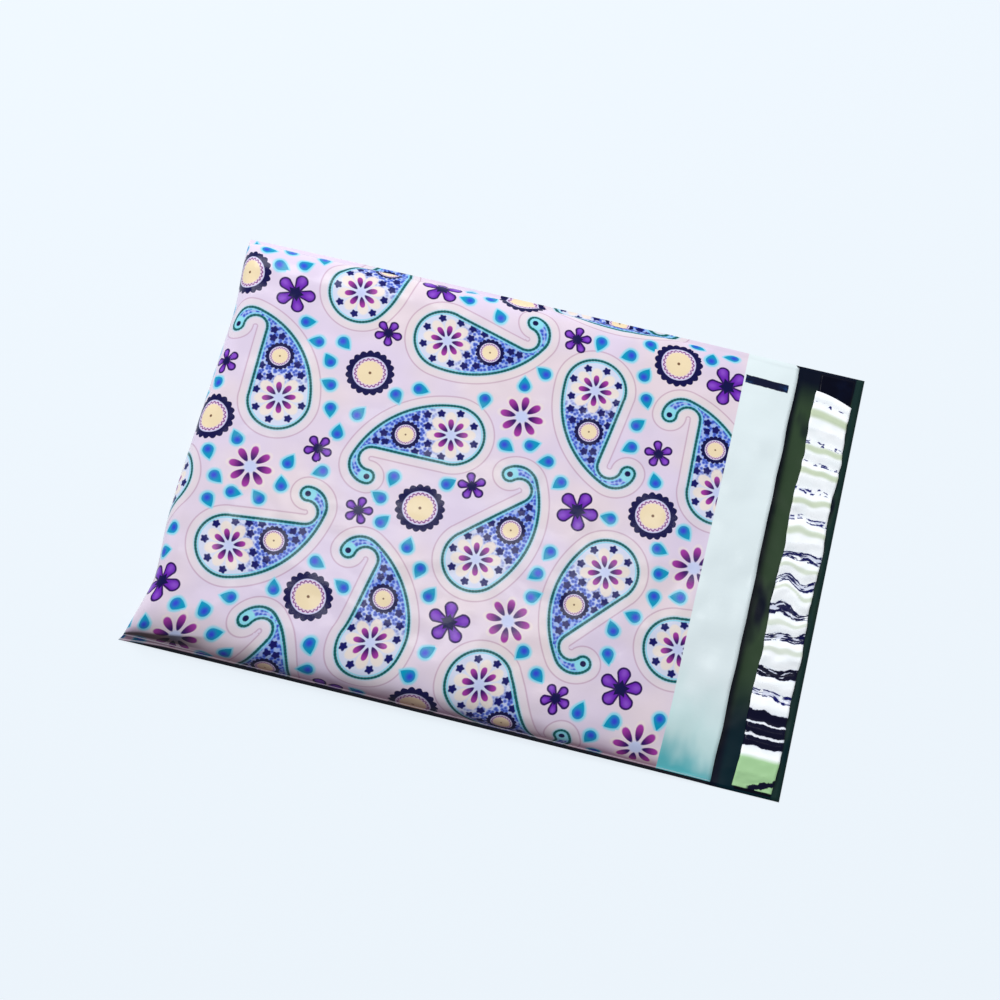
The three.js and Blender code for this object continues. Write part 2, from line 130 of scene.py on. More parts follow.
def petalPlace(x, y, count):  # folds a round figure onto one petal, which points along x
    each = 2 * math.pi / count
    swing = (y.maths("ARCTAN2", x) + each / 2).maths("FLOORED_MODULO", each) - each / 2
    far = reach(x, y)
    return far * swing.maths("COSINE"), far * swing.maths("SINE")


def oval(x, y, centre, halfLength, halfWidth):  # 1 on the rim of an oval
    return reach((x - centre) / halfLength, y / halfWidth)


# The film's shape: one sheet, folded at the end, welded along its sides, with its back left long
pouch = {
    "length": 330,  # from the folded end to the lip of the front panel
    "film": 0.3,
    "weld": 3,
    "puff": 16,
    "mouth": 7,
    "shoulderRun": 22,
    "foldRun": 11,
    "crown": 0.12,
    "slopePower": 1.8,
    "flattenFrom": 0.55,
    "archPower": 3,
    "seamLift": 2.4,
    "foldPull": 5,
    "foldPullRun": 57,
    "earPull": 4,
    "earLength": 36,
    "earSpread": 0.8,
    "cell": 2.25,  # the size of a face
}
halfWidth = bagHigh.y
foldX = bagLow.x
lipX = foldX + pouch["length"]
flapLength = bagHigh.x - lipX


def quarterEllipse(run, rise):
    return math.pi / 4 * (3 * (run + rise) - math.sqrt((3 * run + rise) * (run + 3 * rise)))


shoulderFilm = quarterEllipse(pouch["shoulderRun"], pouch["puff"])
foldFilm = quarterEllipse(pouch["foldRun"], pouch["puff"])
halfFilm = halfWidth + shoulderFilm - pouch["shoulderRun"]
filmLength = pouch["length"] + foldFilm - pouch["foldRun"]


def clamp(value, low=0.0, high=1.0):
    return max(low, min(high, value))


def foldEdge(y):  # where the puff draws the folded end to, at a place across the bag
    far = clamp((halfWidth - y) / pouch["foldPullRun"])
    near = clamp((y + halfWidth) / pouch["earLength"])
    beside = (y + halfWidth - pouch["earLength"]) / (pouch["earSpread"] * pouch["earLength"])
    pull = pouch["foldPull"] * far * far * (3 - 2 * far) + pouch["earPull"] * math.exp(-beside * beside)
    return foldX + pull * math.sqrt(near)


def overEdge(film, flat, run, length):  # the run over the table and the climb of a rounded edge
    if film < flat:
        return film, 0
    if film > flat + length:
        return run + film - length, 1
    angle = (film - flat) / length * math.pi / 2
    return flat + run * (1 - math.cos(angle)), math.sin(angle)


waves = {
    "broad": 0.35,
    "broadSize": 62,
    "pucker": 0.5,  # along the side seams
    "puckerLength": 15,
    "puckerReach": 16,
    # the creases that run in from the near corner: direction and width in radians, and height
    "earCreases": [(0.36, 0.1, -0.9), (0.62, 0.13, 0.9)],
    "earReach": 48,
    "lip": 0.7,
    "lipSize": 21,
}


def wave(x, y, seed):
    return noise.noise(Vector((x, y, seed)))


def relief(along, across):  # how far the front panel's small waves lift it
    broad = waves["broad"] * wave(along / waves["broadSize"], across / waves["broadSize"], 3.3)
    inward = halfFilm - abs(across)
    beat = 2 * math.pi * along / waves["puckerLength"] + 5 * wave(along / 34, across / 90, 8.1)
    strength = 0.5 + wave(along / 40, 0.3 * math.copysign(1, across), 5.7)
    pucker = waves["pucker"] * strength * math.sin(beat) * math.exp(-((inward / waves["puckerReach"]) ** 2))
    beside = math.hypot(along, across + halfFilm)
    turn = math.atan2(across + halfFilm, along + 4)
    creases = sum(high * math.exp(-(((turn - at) / wide) ** 2)) for at, wide, high in waves["earCreases"])
    return broad + pucker + creases * math.exp(-beside / waves["earReach"])


def onPouch(along, across, front):  # a point of the outer side, from its place on the flat film
    inward = halfFilm - abs(across)
    sideRun, sideRise = overEdge(inward, pouch["weld"], pouch["shoulderRun"], shoulderFilm)
    endRun, endRise = overEdge(along, 0, pouch["foldRun"], foldFilm)
    y = math.copysign(halfWidth - sideRun, across)
    fold = foldEdge(y)
    share = endRun / pouch["length"]
    nearLip = clamp((share - 0.93) / 0.07) ** 2 * clamp(inward / 20)
    lip = lipX + waves["lip"] * wave(y / waves["lipSize"], 0, 2.2) * nearLip * front
    x = fold + share * (lip - fold)
    lifted = pouch["seamLift"] * (1 - sideRise) ** 2 * math.sqrt(clamp(4 * share * (1 - share)))
    if not front or inward < 0.01:
        return Vector((x, y, lifted))
    beside = abs(y) / (halfWidth - pouch["weld"])
    arch = max(0, 1 - beside ** pouch["archPower"])
    nearMouth = clamp((share - pouch["flattenFrom"]) / (1 - pouch["flattenFrom"])) ** 2
    rise = (sideRise + (arch - sideRise) * nearMouth) * endRise * (1 - pouch["crown"] * beside * beside)
    low = 2 * pouch["film"]
    high = pouch["mouth"] + (pouch["puff"] - pouch["mouth"]) * (1 - share ** pouch["slopePower"])
    small = relief(along, across) * clamp(rise * 2.5)
    return Vector((x, y, max(low, lifted + low + (high - low) * rise + small)))


# The print: figures on the flat film, as millimetres along from the fold and across from its middle.
# A leaf also has its turn in degrees.
leaves = [
    (54, 26, 15), (83, 102, 331), (137, 86, 268), (156, 30, 104), (228, 79, 185),
    (209, 146, 245), (310, 34, 15), (186, -39, 325), (259, -26, 151), (141, -100, 359),
    (205, -105, 224), (86, -155, 348), (49, -65, 290), (1, -32, 151), (306, -60, 290),
]
rosettes = [
    (16, 100), (100, 55), (272, 107), (19, 7), (149, -17), (277, 12), (100, -82), (175, -129),
    (176, 130),
]
bigFlowers = [
    (46, 93), (129, 120), (302, 101), (235, 4), (180, -77), (126, -137), (17, -93), (281, -89),
]
smallFlowers = [
    (17, 42), (104, 82), (212, 106), (174, 3), (84, 3), (116, -27), (272, 49), (248, -103),
]
daisies = [
    (191, 51), (50, -17), (212, -68), (306, -12), (39, -120), (297, -117),
]

figure = {
    "whiteBand": 30,  # bare film between the print and the lip
    "rosette": 14.2,
    "bigFlower": 12.3,
    "smallFlower": 8.5,
    "flowerTurn": 23,
    "daisy": 12.8,
    "leafDaisy": 9.9,
    "leafRosette": 8.6,
    "drop": 5,
    "dropRound": 3.4,
    "dropTip": 5.7,
    "dropClearance": 5.2,
    "dropSpacing": 13,
    "dropGrid": 4,
    "dropMargin": 4,
    "goldenAngle": 137.5,
    "halo": 5.0,
    "border": 1.5,
    "outlineStep": 7,
    "spread": 5.2,  # how far from a figure's outline its ink can reach
}
printLength = filmLength - figure["whiteBand"]
leaf = {
    "bulb": 18.5,
    "back": 59.5,
    "hook": 12.6,
    "tip": 4.8,
    "notch": 6.2,
    "backStart": -8,
    "hookStart": 61,
    "tipStart": 166,
    "tipEnd": 348,
    "farthest": 76,  # from the bulb's middle, with its halo
    "daisyAt": (0, 1.3),
    "rosetteAt": (0, 27.1),
    "stars": 14.2,  # how far the ring of stars lies from the daisy's middle
    "moreStars": [
        (12.4, 14.6), (10.3, 21.4), (-11.6, 14.4), (-10.3, 21.6), (1, 39.4), (-4, 38.7), (-3.6, 43.8),
    ],
    "tipDot": 1.7,
}
straightRadius = 2000.0  # the straight side is drawn as an arc so large that it looks straight


def polar(radius, degrees):
    return Vector((radius * math.cos(math.radians(degrees)), radius * math.sin(math.radians(degrees))))


def leafArcs():  # centre, radius, first and last angle, and the outline's step, one after the other
    backAt = polar(leaf["bulb"] - leaf["back"], leaf["backStart"])
    hookAt = backAt + polar(leaf["back"] - leaf["hook"], leaf["hookStart"])
    tipAt = hookAt + polar(leaf["hook"] - leaf["tip"], leaf["tipStart"])
    notchAt = tipAt + polar(leaf["tip"] + leaf["notch"], leaf["tipEnd"])
    lean = math.degrees(math.atan2(notchAt.y, notchAt.x))
    side = lean + math.degrees(math.acos((leaf["bulb"] + leaf["notch"]) / notchAt.length))
    return side, tipAt, [
        (Vector((0, 0)), leaf["bulb"], side, 360 + leaf["backStart"], 30),
        (backAt, leaf["back"], leaf["backStart"], leaf["hookStart"], 10),
        (hookAt, leaf["hook"], leaf["hookStart"], leaf["tipStart"], 26),
        (tipAt, leaf["tip"], leaf["tipStart"], leaf["tipEnd"], 45),
        (notchAt, -leaf["notch"], leaf["tipEnd"] - 180, side - 180, 40),
    ]


leafSide, leafTip, arcs = leafArcs()


def leafOutline():
    points = []
    for centre, radius, start, end, step in arcs:
        count = math.ceil(abs(end - start) / step)
        points += [centre + polar(abs(radius), start + (end - start) * i / count) for i in range(count + 1)]
    close = []
    for i, point in enumerate(points):
        following = points[(i + 1) % len(points)]
        count = math.ceil((following - point).length / figure["outlineStep"])
        close += [point.lerp(following, k / count) for k in range(count)]
    return close


def nearestRim(point):  # the arc that a point lies nearest to: out from it, centre, signed radius, start
    lineStart = arcs[4][0] + polar(-arcs[4][1], leafSide - 180)
    lineEnd = polar(leaf["bulb"], leafSide)
    outward = polar(1, leafSide)
    lineLength = (lineEnd - lineStart).length
    run = (point - lineStart).dot((lineEnd - lineStart).normalized())
    best = None
    if 0 <= run <= lineLength:
        out = (point - lineStart).dot(outward)
        centre = (lineStart + lineEnd) / 2 - outward * straightRadius
        best = (out, centre, straightRadius, 0)
    before = 0
    for centre, radius, start, end, step in arcs:
        low, high = min(start, end), max(start, end)
        away = point - centre
        angle = (math.degrees(math.atan2(away.y, away.x)) - low) % 360 + low
        out = math.copysign(1, radius) * (away.length - abs(radius))
        if angle <= high and (best is None or abs(out) < abs(best[0])):
            best = (out, centre, radius, before)
        before += math.radians(high - low) * abs(radius)
    return best or (straightRadius, Vector((0, 0)), straightRadius, 0)


def toFigure(along, across, place):  # a place on the film, in a figure's own millimetres
    angle = math.radians(place[2])
    dx, dy = along - place[0], across - place[1]
    x = dx * math.cos(angle) + dy * math.sin(angle)
    y = dy * math.cos(angle) - dx * math.sin(angle)
    return Vector((x, y))


def fromFigure(point, place):
    angle = math.radians(place[2])
    return Vector((
        place[0] + point.x * math.cos(angle) - point.y * math.sin(angle),
        place[1] + point.x * math.sin(angle) + point.y * math.cos(angle),
    ))


def dropPlaces():  # the drops fill the room between the figures, row by row
    outlines = [[fromFigure(point, place) for point in leafOutline()] for place in leaves]
    rounds = [(*p, figure["rosette"]) for p in rosettes] + [(*p, figure["bigFlower"]) for p in bigFlowers]
    rounds += [(*p, figure["smallFlower"]) for p in smallFlowers] + [(*p, figure["daisy"]) for p in daisies]
    leafRoom = figure["dropClearance"] + figure["halo"]

    def free(along, across):
        place = Vector((along, across))
        for a, b, radius in rounds:
            if math.hypot(along - a, across - b) <= radius + figure["dropClearance"]:
                return False
        for outline, at in zip(outlines, leaves):
            if math.hypot(along - at[0], across - at[1]) > leaf["farthest"]:
                continue
            if any((point - place).length <= leafRoom for point in outline):
                return False
            if nearestRim(toFigure(along, across, at))[0] < 0:
                return False
        return True

    grid, margin = figure["dropGrid"], figure["dropMargin"]
    rowPitch = grid * math.sin(math.radians(60))
    places = []
    for row in range(int(2 * (halfFilm - margin) / rowPitch) + 1):
        across = margin - halfFilm + row * rowPitch
        along = margin + row % 2 * grid / 2
        while along < printLength - margin:
            apart = all(math.hypot(along - p[0], across - p[1]) >= figure["dropSpacing"] for p in places)
            if apart and free(along, across):
                places.append((along, across, len(places) * figure["goldenAngle"] % 360))
            along += grid
    return places


# The kinds of figure, in the order of the film's material slots after the bare ground
def allFigures():
    drops = dropPlaces()
    print("drops in the print:", len(drops))
    flowers = [(*p, figure["flowerTurn"] * i) for i, p in enumerate(bigFlowers + smallFlowers)]
    found = [("drop", p) for p in drops]
    found += [("rosette", (*p, 0)) for p in rosettes]
    found += [("bigFlower", p) for p in flowers[:len(bigFlowers)]]
    found += [("smallFlower", p) for p in flowers[len(bigFlowers):]]
    return found + [("daisy", (*p, 0)) for p in daisies]


def nearestLeaf(along, across):  # how far out from the nearest leaf a place is, the leaf, and its rim there
    best = (leaf["farthest"], None, None)
    for place in leaves:
        if math.hypot(along - place[0], across - place[1]) < leaf["farthest"]:
            rim = nearestRim(toFigure(along, across, place))
            if rim[0] < best[0]:
                best = (rim[0], place, rim)
    return best


def figureAt(along, across, figures, leafOut, leafPlace):  # the figure whose outline lies nearest
    best = (figure["spread"], "ground", None)
    for kind, place in figures:
        out = math.hypot(along - place[0], across - place[1]) - figure[kind]
        if out < best[0]:
            best = (out, kind, place)
    return ("leaf", leafPlace) if leafOut < best[0] else best[1:]


def starPlaces():
    around = [Vector(leaf["daisyAt"]) + polar(leaf["stars"], 22.5 + 45 * i) for i in range(8)]
    return around + [Vector(p) for p in leaf["moreStars"]]


# The inks
ink = {
    "ground": tint(232, 216, 238),
    "groundWarm": tint(240, 222, 230),
    "band": tint(238, 249, 251),
    # painted shade on the bare band towards the near seam, a pale step and a deep one
    "paleBandShade": tint(186, 230, 228),
    "bandShade": tint(92, 184, 192),
    "edgeShade": tint(128, 88, 104),
    "earShade": tint(62, 32, 36),
    # painted highlight: the whitish lines along the near seam's turn
    "edgeHighlight": tint(240, 226, 236),
    # the dark line on the near seam only: the weld bead together with a painted contact shadow under that
    # seam
    "weld": tint(4, 6, 20),
    "mark": tint(3, 10, 46),
    "markPatch": tint(20, 66, 120),
    "navy": tint(6, 2, 72),
    "star": tint(12, 12, 100),
    "ringWhite": tint(216, 212, 248),
    "blush": tint(240, 214, 224),
    "mauve": tint(142, 72, 146),
    "cream": tint(250, 228, 188),
    "brown": tint(120, 84, 60),
    "outline": tint(44, 6, 88),
    "purple": tint(112, 36, 182),
    "violet": tint(166, 100, 226),
    "plumDark": tint(48, 8, 98),
    "plum": tint(172, 58, 166),
    "heart": tint(206, 214, 248),
    "dropBlue": tint(52, 74, 216),
    "dropTeal": tint(0, 156, 196),
    "glow": tint(140, 222, 242),
    "teal": tint(0, 92, 90),
    "tealLight": tint(30, 136, 140),
    "cyan": tint(140, 222, 242),
    "leafFill": tint(222, 226, 248),
    "leafNeck": tint(132, 170, 238),
    "lace": tint(66, 104, 220),
    "laceDark": tint(34, 52, 160),
    "hookFill": tint(150, 226, 240),
    "halo": tint(240, 230, 224),
    "haloLine": tint(186, 138, 166),
    "petal": tint(250, 234, 222),
    "innerNavy": tint(2, 10, 30),
    "innerGreenSheen": tint(52, 72, 50),
    "innerTeal": tint(0, 32, 42),
    "innerEdge": tint(24, 48, 46),
}


def drawGround(paint, under, out):
    return under


def drawDrop(paint, under, out):
    x, y = flatPlace(paint, "figure")
    tip = y.maths("MAXIMUM", 0.0) / figure["dropTip"]
    side = reach(x, y.maths("MINIMUM", 0.0))
    beyond = side - (1 - tip) * (1 + 0.6 * tip) * figure["dropRound"]
    core = within(reach(x, y + 0.5), 2.0, 1.7)
    body = blend(core, ink["dropTeal"], ink["dropBlue"])
    lit = blend(within(beyond, 1.3, 1.0), under, ink["glow"])
    return blend(within(beyond, 0.0, 0.3), lit, body)


def drawRosetteAt(x, y, radius, under):
    far = reach(x, y)
    around = y.maths("ARCTAN2", x)
    scallop = abs((around * 9.5).maths("SINE"))
    rim = scallop * (0.1 * radius) + 0.9 * radius
    zigzag = abs((around * 10.5).maths("SINE")) * (0.08 * radius) + 0.545 * radius
    drawn = blend(within(far, rim), under, ink["navy"])
    drawn = blend(within(far, 0.705 * radius), drawn, ink["ringWhite"])
    drawn = blend(within(far, 0.655 * radius, 0.3) * 0.8, drawn, ink["blush"])
    drawn = blend(within(abs(far - zigzag), 0.03 * radius, 0.22), drawn, ink["mauve"])
    drawn = blend(within(far, 0.52 * radius, 0.4), drawn, ink["cream"])
    return blend(within(far, 0.06 * radius, 0.3), drawn, ink["brown"])


def drawRosette(paint, under, out):
    x, y = flatPlace(paint, "figure")
    return drawRosetteAt(x, y, figure["rosette"], under)


def flowerOf(size):
    radius = figure[size]

    def drawFlower(paint, under, out):
        x, y = flatPlace(paint, "figure")
        alongPetal, besidePetal = petalPlace(x, y, 5)
        spine = alongPetal.maths("MAXIMUM", 0.25 * radius).maths("MINIMUM", 0.67 * radius)
        petal = reach(alongPetal - spine, besidePetal) - spine * 0.32
        heart = within(reach(x, y) + abs(besidePetal) * 1.5, 0.42 * radius, 0.4)
        spot = within(oval(alongPetal, besidePetal, 0.72 * radius, 0.26 * radius, 0.18 * radius), 0.7, 0.6)
        filled = within(petal, 0.11 * radius - 1.1, 0.3)
        drawn = blend(within(petal, 0.11 * radius), under, ink["outline"])
        drawn = blend(filled, drawn, ink["purple"])
        drawn = blend(spot * filled * 0.5, drawn, ink["violet"])
        return blend(heart, drawn, ink["navy"])

    return drawFlower


def drawDaisyAt(x, y, radius, under):
    alongPetal, besidePetal = petalPlace(x, y, 8)
    swell = alongPetal * 0.16 + 0.07 * radius
    petal = oval(alongPetal, besidePetal / swell, 0.63 * radius, 0.37 * radius, 1.0)
    petalInk = blend(between(alongPetal, 0.35 * radius, 0.95 * radius), ink["plumDark"], ink["plum"])
    drawn = blend(within(reach(x, y), 0.3 * radius, 0.1 * radius), under, ink["heart"])
    return blend(within(petal, 0.94, 0.12), drawn, petalInk)


def drawPalePetals(x, y, centre, halfLength, halfWide, under, strength):
    alongPetal, besidePetal = petalPlace(x, y, 8)
    pale = oval(alongPetal, besidePetal, centre, halfLength, halfWide)
    return blend(within(pale, 0.9, 0.15) * strength, under, ink["petal"])


def drawDaisy(paint, under, out):
    x, y = flatPlace(paint, "figure")
    radius = figure["daisy"]
    drawn = drawPalePetals(x, y, 0.8 * radius, 0.36 * radius, 0.25 * radius, under, 0.45)
    return drawDaisyAt(x, y, radius, drawn)


def drawHalo(paint, under):  # the pale band round the leaves runs on under the other figures
    rimX, rimY = flatPlace(paint, "rim")
    ring = flatPlace(paint, "ring")[0]
    out = (reach(rimX, rimY) - abs(ring)) * ring.maths("SIGN")
    drawn = blend(within(out, figure["halo"] - 0.3, 0.6) * 0.35, under, ink["halo"])
    drawn = blend(within(abs(out - figure["halo"]), 0.35, 0.4) * 0.6, drawn, ink["haloLine"])
    return blend(within(out, 0.6, 0.7) * 0.6, drawn, ink["cyan"]), out


def drawLeaf(paint, under, out):
    x, y = flatPlace(paint, "figure")
    run = flatPlace(paint, "ring")[1]
    starX, starY = flatPlace(paint, "star")
    daisyX, daisyY = x - leaf["daisyAt"][0], y - leaf["daisyAt"][1]
    grain = x.node("CombineXYZ", inputs={0: x, 1: y, 2: 0.0})
    dots = x.node("TexVoronoi", {"voronoi_dimensions": "2D"}, {"Vector": grain, "Scale": 0.45})
    inside = blend(between(y, 8.0, 32.0) * 0.7, ink["leafFill"], ink["leafNeck"])
    inside = blend(within(dots, 0.48, 0.12) * between(y, 5.0, 18.0) * 0.85, inside, ink["lace"])
    inside = blend(within(dots, 0.24, 0.1) * between(y, 5.0, 18.0) * 0.7, inside, ink["laceDark"])
    inside = drawPalePetals(daisyX, daisyY, 9.8, 4.8, 3.6, inside, 0.9)
    inside = drawDaisyAt(daisyX, daisyY, figure["leafDaisy"], inside)
    around = starY.maths("ARCTAN2", starX)
    star = reach(starX, starY) - (around * 5).maths("COSINE") * 0.35
    inside = blend(within(star, 2.15, 0.35), inside, ink["star"])
    rosetteX, rosetteY = x - leaf["rosetteAt"][0], y - leaf["rosetteAt"][1]
    inside = drawRosetteAt(rosetteX, rosetteY, figure["leafRosette"], inside)
    fromTip = reach(x - leafTip.x, y - leafTip.y)
    inside = blend(within(fromTip, leaf["tip"], 0.5), inside, ink["hookFill"])
    inside = blend(within(fromTip, leaf["tipDot"], 0.3), inside, ink["navy"])
    bead = (run * (2 * math.pi / 1.9)).maths("SINE")
    drawn = blend(within(out, -0.7), under, inside)
    drawn = blend(within(abs(out + figure["border"] + 0.55), 0.45, 0.3) * 0.85, drawn, ink["cyan"])
    border = abs(out + figure["border"] / 2) + bead * 0.04
    borderInk = blend(between(bead, 0.0, 1.0) * 0.35, ink["teal"], ink["tealLight"])
    return blend(within(border, figure["border"] / 2, 0.28), drawn, borderInk)


edge = {
    "shadeEnd": 22,  # how far in from the near seam the front's dark turn reaches
    "shadeFull": 4,
    "paleBandShadeEnd": 66,
    "paleBandShadeFull": 20.0,
    "bandShadeEnd": 26,
    "bandShadeFull": 2.0,
    "bandLean": 0.4,  # how far the band's shades move in for each millimetre short of the lip
    "earEnd": 64,  # how far along the painted shade in the ear's fold runs
    "earFold": 7,
    "earFoldRise": 0.13,  # how far the fold moves in for each millimetre along
    "earFoldSpread": 0.07,
    "earHighlight": 5.2,  # the painted highlight line beside the ear's fold
    "highlightLine": 0.7,
    "weldWidth": 1.8,
    "weldShadowFrom": 5.0,
    "weldShadowRun": 40,  # the dark weld line, painted as the weld bead and the shadow under the near seam, grows to its width over this length from the near corner
    "markLength": 25,
    "markWidth": 5,
    "markInset": 15.5,
    "markToLip": 4,
}


def drawBand(along, across, under):  # the bare band beside the lip, and the machine's mark on it
    bare = within(along * -1, -printLength, 0.2)
    drawn = blend(bare, under, ink["band"])
    far = halfFilm - edge["markInset"] - (shoulderFilm - pouch["shoulderRun"])
    middleX = filmLength - edge["markToLip"] - edge["markLength"] / 2
    besideX = abs(along - middleX) - edge["markLength"] / 2
    besideY = abs(across - (far - edge["markWidth"] / 2)) - edge["markWidth"] / 2
    ragged = besideX.maths("MAXIMUM", besideY) + (speckle(along, across, 2.2, 2.2) - 0.5) * 0.5
    ends = between(abs(along - middleX), 6.0, 12.0) * between(speckle(along, across, 4, 2.4), 0.4, 0.7)
    markInk = blend(ends * 0.7, ink["mark"], ink["markPatch"])
    return blend(within(ragged, 0.0), drawn, markInk), bare


def drawNearEdge(along, across, bare, under):  # the painted shade of the near turn, painted highlight lines, and the dark weld line with a painted shadow
    inward = across + halfFilm
    loose = inward + (speckle(along, across, 30, 14) - 0.5) * 8
    # painted shade: the bare band turns teal towards the near seam, pale further in and deep at the edge
    onBand = inward + (speckle(along, across, 14, 30) - 0.5) * 22 + (along - filmLength) * edge["bandLean"]
    pale = between(onBand, edge["paleBandShadeEnd"], edge["paleBandShadeFull"])
    deepShade = between(onBand, edge["bandShadeEnd"], edge["bandShadeFull"])
    drawn = blend(pale * bare * 0.6, under, ink["paleBandShade"])
    drawn = blend(deepShade * bare, drawn, ink["bandShade"])
    shade = between(loose, edge["shadeEnd"], edge["shadeFull"]) * (1 - bare)
    drawn = blend(shade * 0.85, drawn, ink["edgeShade"], "MULTIPLY")
    # painted shade: a dark wedge along the ear's fold, running in from the near corner
    onEar = between(along, edge["earEnd"], 0.6 * edge["earEnd"])
    besideFold = abs(inward - along * edge["earFoldRise"] - edge["earFold"])
    fold = within(besideFold - along * edge["earFoldSpread"], 0.9, 1.2)
    drawn = blend(fold * onEar * 0.9, drawn, ink["earShade"], "MULTIPLY")
    # painted highlight: a whitish line beside the ear's fold
    drawn = blend(within(abs(inward - edge["earHighlight"]), 0.7, 0.6) * onEar * 0.6, drawn, ink["edgeHighlight"])
    weldShadowWidthHere = between(along, edge["weldShadowFrom"], edge["weldShadowRun"]) * edge["weldWidth"]
    # painted highlight: a thin whitish line just inside the dark weld line
    light = abs(inward - weldShadowWidthHere - edge["highlightLine"])
    drawn = blend(within(light, 0.3, 0.35) * 0.6, drawn, ink["edgeHighlight"])
    # painted shadow: the dark line along the near seam, for the weld bead and the shadow beneath it
    return blend(within(inward, weldShadowWidthHere, 0.15), drawn, ink["weld"])


def finishOf(paint, tree, colour, rough, bump, settings):
    shader = tree.nodes["Principled BSDF"]
    for name, value in settings.items():
        shader.inputs[name].default_value = value
    tree.links.new(colour.socket, shader.inputs["Base Color"])
    tree.links.new(rough.socket, shader.inputs["Roughness"])
    tree.links.new(bump.socket, shader.inputs["Normal"])


printGloss = {"IOR": 1.5, "Specular IOR Level": 0.12}
innerGloss = {"IOR": 1.5, "Specular IOR Level": 0.05}


def crinkle(paint, depth, size, fine):  # the small dents of thin film, with their depth in metres
    place = paint.node("TexCoord", output=3)
    large = paint.node("TexNoise", inputs={"Vector": place, "Scale": 1000 / size, "Detail": 1.0})
    small = paint.node("TexNoise", inputs={"Vector": place, "Scale": 1000 / fine, "Detail": 3.0})
    height = large + small * 0.015
    return paint.node("Bump", inputs={"Strength": 1.0, "Distance": depth, "Height": height})


def newMaterial(name):
    material = bpy.data.materials.new(name)
    material.use_nodes = True
    return material, material.node_tree, Wire(material.node_tree)


def printMaterial(name, draw):
    material, tree, paint = newMaterial(name)
    along, across = flatPlace(paint, "film")
    cloudy = between(speckle(along, across, 70, 55), 0.35, 0.7)
    ground = blend(cloudy, ink["ground"], ink["groundWarm"])
    haloed, out = drawHalo(paint, ground)
    drawn = draw(paint, haloed, out)
    drawn, bare = drawBand(along, across, drawn)
    drawn = drawNearEdge(along, across, bare, drawn)
    rough = speckle(along, across, 30, 30) * 0.12 + 0.13
    finishOf(paint, tree, drawn, rough, crinkle(paint, 0.0028, 28, 2.4), printGloss)
    return material


def backMaterial():
    material, tree, paint = newMaterial("plainBack")
    along, across = flatPlace(paint, "film")
    cloudy = between(speckle(along, across, 60, 60), 0.35, 0.7)
    ground = blend(cloudy, ink["ground"], ink["groundWarm"])
    rough = speckle(along, across, 30, 30) * 0.12 + 0.28
    finishOf(paint, tree, ground, rough, crinkle(paint, 0.001, 22, 2.2), printGloss)
    return material


inner = {  # where each of its inks starts and is full, across the film or past the lip
    # painted reflection: green-grey sheen patches across the middle; past the lip they start only after a
    # navy band, a painted shadow of the lip
    "sheenFar": (120.0, 98.0),
    "sheenNear": (-98.0, -60.0),
    "sheenPastLipShadow": (0.5, 5.0),
    "tealNear": (-50.0, -112.0),
    "tealPastLip": (2.0, 6.0),
    "pastGlue": (glueHigh.x - lipX, glueHigh.x - lipX + 1.0),
}


def innerMaterial():
    material, tree, paint = newMaterial("darkInside")
    along, across = flatPlace(paint, "film")
    patch = between(speckle(along, across, 14, 40), 0.22, 0.5)
    fromLip = along - filmLength
    inMiddle = between(across, *inner["sheenFar"]) * between(across, *inner["sheenNear"])
    # painted reflection: green-grey sheen patches, kept off the navy band beside the lip, which is painted
    # shadow
    green = patch * (inMiddle * between(fromLip, *inner["sheenPastLipShadow"]))
    teal = between(across, *inner["tealNear"]) * between(fromLip, *inner["tealPastLip"])
    drawn = blend(green, ink["innerNavy"], ink["innerGreenSheen"])
    drawn = blend(teal, drawn, ink["innerTeal"])
    drawn = blend(between(fromLip, *inner["pastGlue"]) * patch, drawn, ink["innerEdge"])
    rough = speckle(along, across, 20, 20) * 0.15 + 0.22
    finishOf(paint, tree, drawn, rough, crinkle(paint, 0.0006, 15, 1.8), innerGloss)
    return material


kinds = ["ground", "drop", "rosette", "bigFlower", "smallFlower", "daisy", "leaf"]
draws = [
    drawGround, drawDrop, drawRosette, flowerOf("bigFlower"), flowerOf("smallFlower"), drawDaisy, drawLeaf,
]


